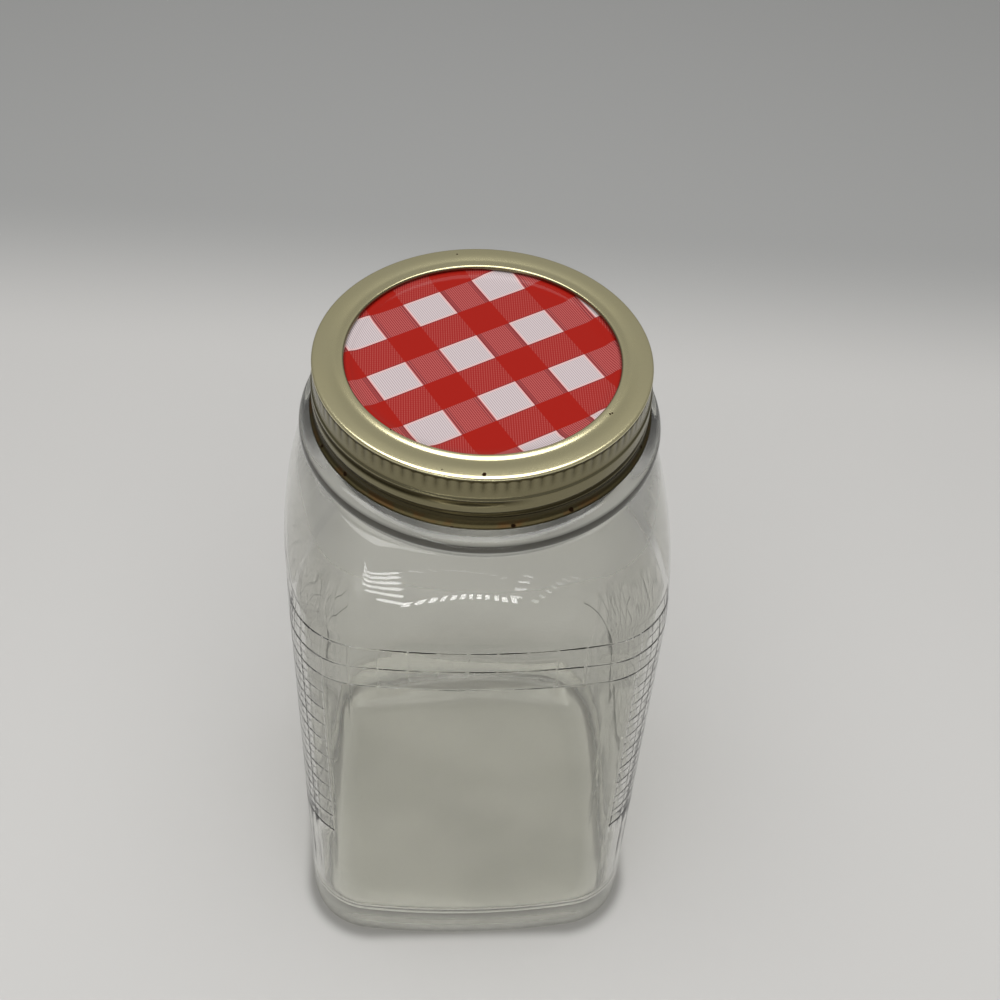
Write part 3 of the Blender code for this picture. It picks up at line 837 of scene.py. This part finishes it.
def makeChecksFinish(settings):
    # the print repeats on a slightly skewed lattice: two dot products give a point's place in it
    ink = Finish("checkedPrint")
    (firstStep, firstAngle), (secondStep, secondAngle) = settings["first"], settings["second"]
    basis = np.array([[firstStep * math.cos(math.radians(firstAngle)), secondStep * math.cos(math.radians(secondAngle))],
                      [firstStep * math.sin(math.radians(firstAngle)), secondStep * math.sin(math.radians(secondAngle))]])
    inverse = np.linalg.inv(basis) / mm
    shift = inverse @ (np.array(settings["centre"]) * mm)
    u = ink.dot(ink.place, (*inverse[0], 0.0)) - float(shift[0])
    v = ink.dot(ink.place, (*inverse[1], 0.0)) - float(shift[1])
    acrossFirst = abs(u - u.maths("ROUND")) * firstStep  # mm from a white column's middle
    acrossSecond = abs(v - v.maths("ROUND")) * secondStep
    halfFirst, halfSecond = settings["firstWhite"] / 2.0, settings["secondWhite"] / 2.0
    inFirst = ink.fade(acrossFirst, halfFirst + 0.05, halfFirst - 0.05)
    inSecond = ink.fade(acrossSecond, halfSecond + 0.05, halfSecond - 0.05)

    pitch = settings["threadPitch"]
    stripe = (u * (firstStep * 2.0 * math.pi / pitch)).maths("SINE") * 0.5 + 0.5
    dashPhase = ink.dot(ink.place, (1000.0 * 2.0 * math.pi / 0.62, 60.0, 0.0)).maths("SINE")
    dashBreak = ink.dot(ink.place, (500.0, 1000.0 * 2.0 * math.pi / 0.75, 0.0)).maths("SINE")

    whiteEdge = ink.fade(acrossFirst, halfFirst - 0.75, halfFirst - 0.15).maths(
        "MAXIMUM", ink.fade(acrossSecond, halfSecond - 0.75, halfSecond - 0.15))
    white = ink.blend(stripe * 0.75, plain(*settings["white"]), plain(*settings["gray"]))
    white = ink.blend(whiteEdge * 0.6, white, plain(*settings["edgePink"]))

    beside = ink.blend(0.2 + stripe * (0.70 + dashBreak * 0.1), plain(*settings["pink"]), plain(*settings["deepRose"]))
    innerLine = abs(acrossFirst - (halfFirst + 0.45))
    outerLine = abs(acrossFirst - (halfFirst + 1.15))
    lines = ink.fade(innerLine, 0.24, 0.08).maths("MAXIMUM", ink.fade(outerLine, 0.2, 0.06) * 0.8)
    beside = ink.blend(lines * 0.65, beside, plain(*settings["brown"]))

    dashes = ink.fade(dashPhase + dashBreak * 0.4, 0.1, 0.9)
    above = ink.blend(dashes, plain(*settings["dash"]), plain(*settings["rose"]))
    rowLine = ink.fade(abs(acrossSecond - (halfSecond + 0.12)), 0.22, 0.06) * (0.35 + stripe * 0.65)
    above = ink.blend(rowLine * 0.8, above, plain(*settings["brown"]))

    whiteRow = ink.blend(inSecond, above, white)
    redRow = ink.blend(inSecond, plain(*settings["red"]), beside)
    color = ink.blend(inFirst, redRow, whiteRow)
    orange = ink.noise(520.0, 4.0, 0.6)
    shader = ink.principled({
        "Base Color": color,
        "Roughness": 0.16 + (orange - 0.5) * 0.06,
        "Specular IOR Level": 0.12,
        "Normal": ink.bump(orange, 0.00002, 0.4),
    })
    return ink.close(shader)


place(makeDisc(), makeChecksFinish(checks), "lid_disc")
print("disc made")
